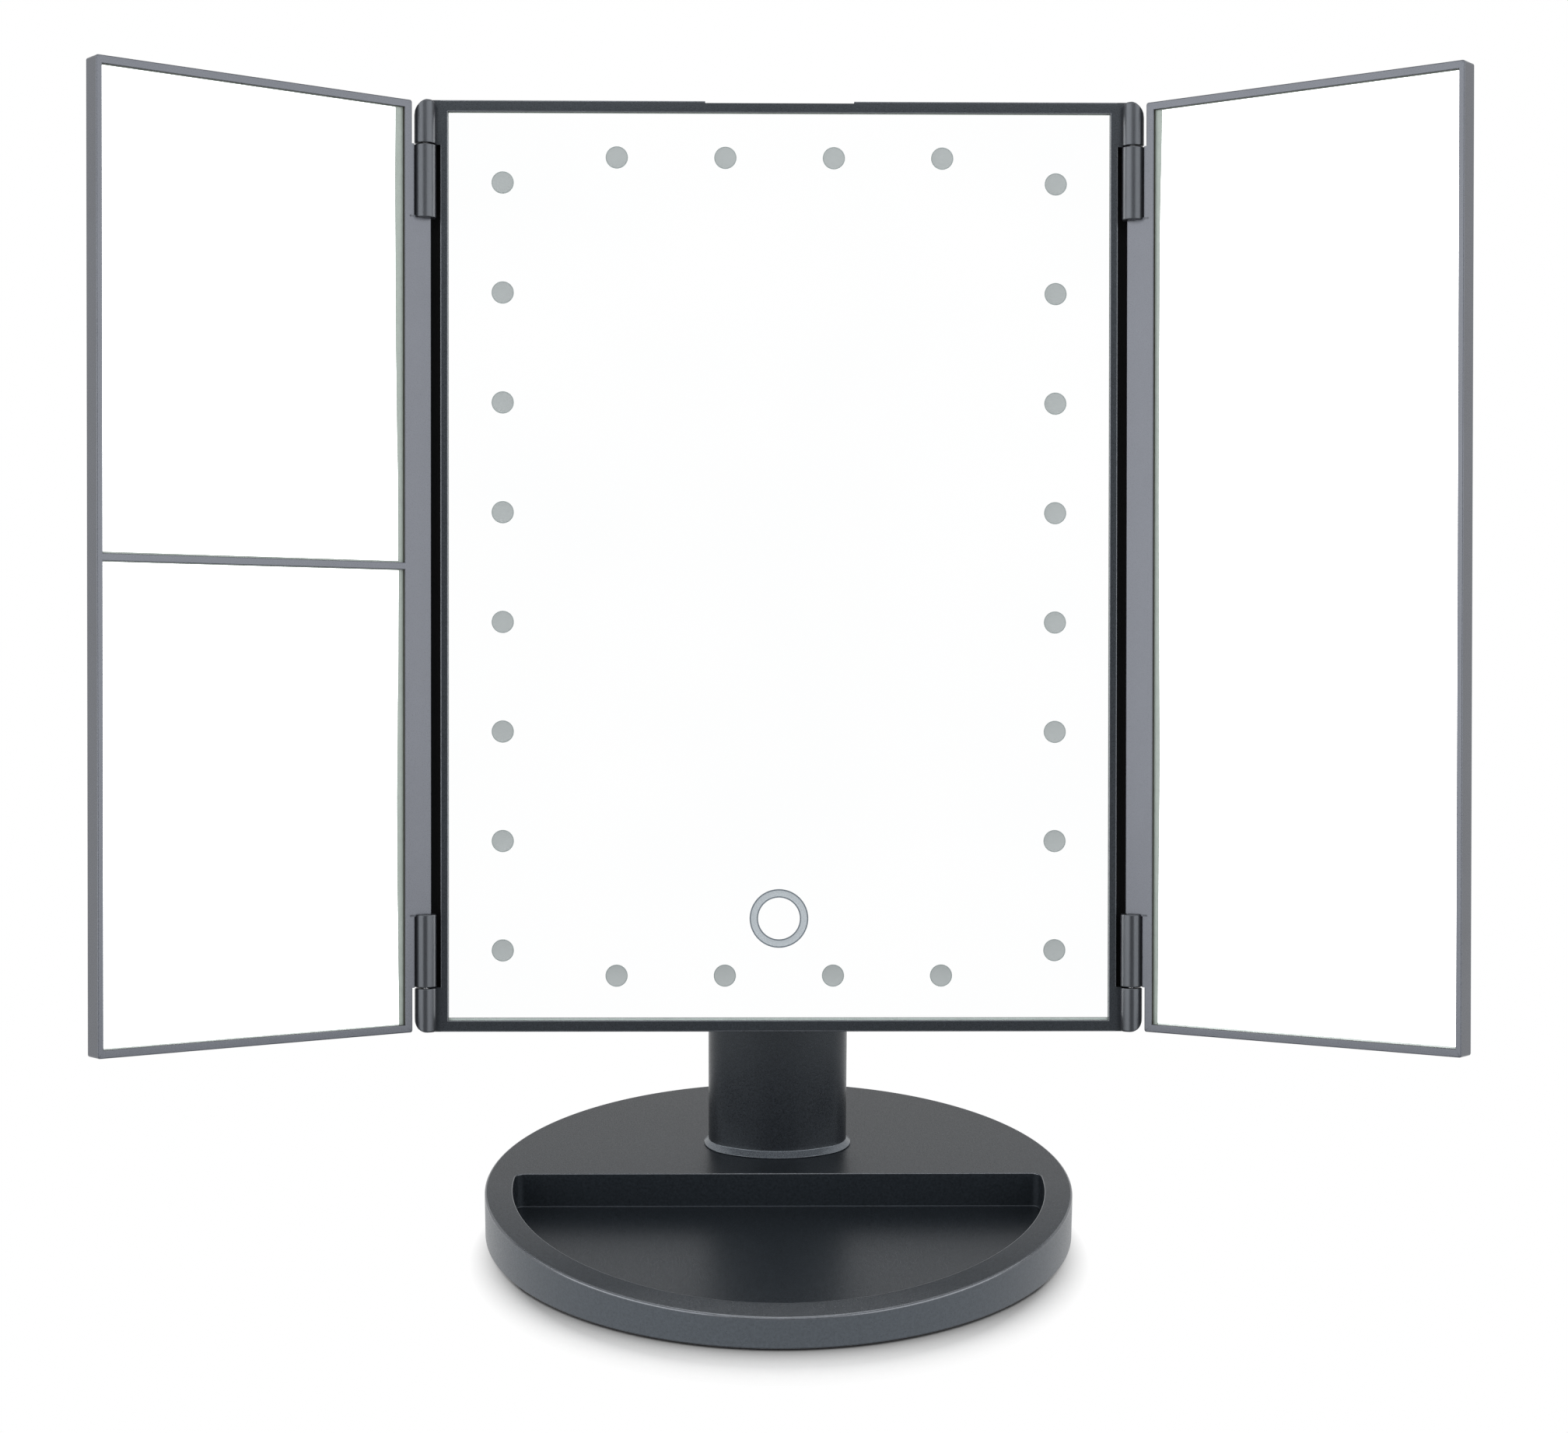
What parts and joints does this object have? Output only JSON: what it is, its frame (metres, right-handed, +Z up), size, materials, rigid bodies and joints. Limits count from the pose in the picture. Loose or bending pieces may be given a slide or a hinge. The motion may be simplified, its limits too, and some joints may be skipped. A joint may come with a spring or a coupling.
{
  "type": "trifold vanity mirror",
  "caption": "Lit trifold table mirror: framed centre mirror with light windows and touch ring, two hinged side mirrors, tilting neck and round tray base.",
  "frame": {"origin": "centre of the round base on the table, midway between the wings' outer edges", "axes": "+Z up, the mirrors face -Y, +X to the right of someone who looks at the mirrors"},
  "size_m": [0.3328, 0.152, 0.2974],
  "materials": {
    "abs_black": "satin, fine spark texture",
    "abs_wing": "satin",
    "mirror_glass": "polished",
    "frosted_window": "sandblasted",
    "frosted_ring": "sandblasted",
    "copper_foil": "bare foil",
    "steel": "zinc plated",
    "rubber_black": "matte",
    "white_plastic": "matte",
    "board_white": "white solder mask",
    "led_phosphor": "clear over phosphor",
    "wire_red": "matte",
    "wire_black": "matte",
    "board_green": "solder mask",
    "switch_grey": "matte",
    "switch_black": "matte",
    "cell_label": "plain sleeve",
    "nylon": "matte",
    "foam_tape": "matte"
  },
  "bodies": {
    "stand": {"base_shell": "abs_black", "base_plate": "abs_black", "base_plate_screws": "steel", "rubber_feet": "rubber_black", "neck": "abs_black", "neck_rear_cover": "abs_black", "neck_screws": "steel"},
    "head": {"head_frame": "abs_black", "rear_cover": "abs_black", "rear_cover_screws": "steel", "rear_housing": "abs_black", "light_carrier": "white_plastic", "main_mirror": "mirror_glass", "light_windows": "frosted_window", "touch_ring": "frosted_ring", "touch_sensor": "copper_foil", "light_board_left": "board_white", "light_board_right": "board_white", "light_board_top": "board_white", "light_board_bottom": "board_white", "light_chips": "led_phosphor", "light_leads": "wire_red", "control_board": "board_green", "control_board_screws": "steel", "usb_socket": "steel", "switch_body": "switch_grey", "battery_cells": "cell_label", "battery_springs": "steel", "battery_plates": "steel", "battery_leads": "wire_black", "tilt_axle": "steel", "tilt_nut": "steel", "spring_washer": "steel", "friction_washers": "nylon", "hinge_pins": "steel"},
    "left_wing": {"left_wing_frame": "abs_wing", "left_wing_back": "abs_wing", "left_upper_mirror": "mirror_glass", "left_lower_mirror": "mirror_glass", "left_wing_tape": "foam_tape"},
    "right_wing": {"right_wing_frame": "abs_wing", "right_wing_back": "abs_wing", "right_mirror": "mirror_glass", "right_wing_tape": "foam_tape"},
    "battery_door": {"battery_door": "abs_black"},
    "power_switch": {"switch_knob": "switch_black"}
  },
  "joints": [
    {"name": "head_tilt", "type": "hinge", "parent": "stand", "child": "head", "pos_m": [0, 0.027, 0.0777], "axis": [-1, 0, 0], "range_deg": [-11.7, 78.3]},
    {"name": "left_wing_hinge", "type": "hinge", "parent": "head", "child": "left_wing", "pos_m": [-0.0911, 0.02821, 0.16936], "axis": [0, 0.2028, 0.9792], "range_deg": [-37.5, 142.5]},
    {"name": "right_wing_hinge", "type": "hinge", "parent": "head", "child": "right_wing", "pos_m": [0.0911, 0.02821, 0.16936], "axis": [0, -0.2028, -0.9792], "range_deg": [-37.5, 142.5]},
    {"name": "battery_door_slide", "type": "slide", "parent": "head", "child": "battery_door", "axis": [0, 0.2028, 0.9792], "range_m": [0, 0.028]},
    {"name": "power_switch_slide", "type": "slide", "parent": "head", "child": "power_switch", "axis": [0, 0.2028, 0.9792], "range_m": [0, 0.003]}
  ]
}
